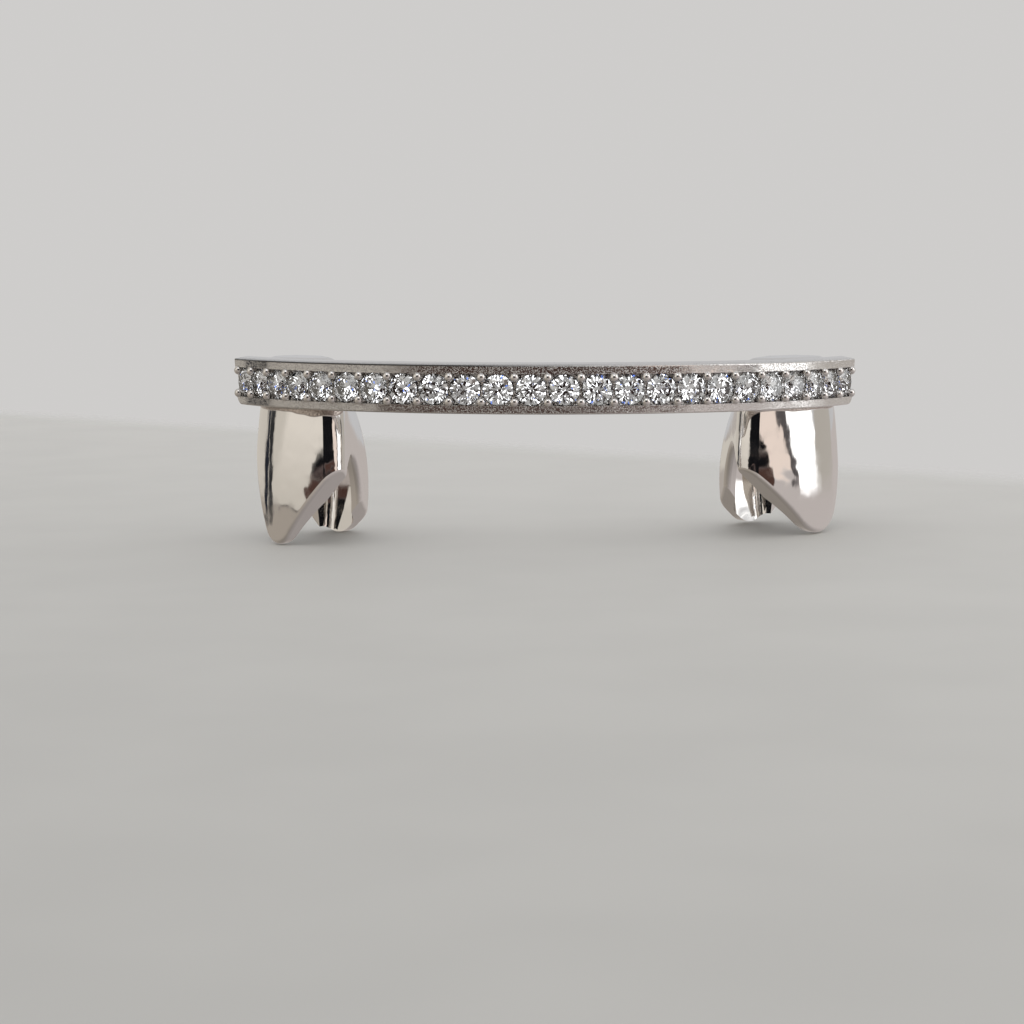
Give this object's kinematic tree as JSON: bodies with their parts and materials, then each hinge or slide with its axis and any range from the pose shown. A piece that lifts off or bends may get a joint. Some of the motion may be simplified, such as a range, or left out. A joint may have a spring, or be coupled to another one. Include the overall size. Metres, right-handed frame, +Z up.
{
  "type": "grillz tooth cover",
  "caption": "Lower grill jewel: two polished canine caps joined by a curved bar set with a row of round stones.",
  "frame": {"origin": "centre of the bounding box on the plane it stands on, under the tips of the two caps", "axes": "+X across the mouth towards the picture's right, -Y to the lips, +Y to the tongue, +Z up"},
  "size_m": [0.0352, 0.0138, 0.0104],
  "materials": {
    "white_metal": "polished",
    "clear_stone": "cut and polished"
  },
  "bodies": {
    "root": {"grill_frame": "white_metal", "stone_01": "clear_stone", "stone_02": "clear_stone", "stone_03": "clear_stone", "stone_04": "clear_stone", "stone_05": "clear_stone", "stone_06": "clear_stone", "stone_07": "clear_stone", "stone_08": "clear_stone", "stone_09": "clear_stone", "stone_10": "clear_stone", "stone_11": "clear_stone", "stone_12": "clear_stone", "stone_13": "clear_stone", "stone_14": "clear_stone", "stone_15": "clear_stone", "stone_16": "clear_stone", "stone_17": "clear_stone", "stone_18": "clear_stone", "stone_19": "clear_stone", "stone_20": "clear_stone", "stone_21": "clear_stone", "stone_22": "clear_stone", "stone_23": "clear_stone", "stone_24": "clear_stone"}
  },
  "joints": []
}
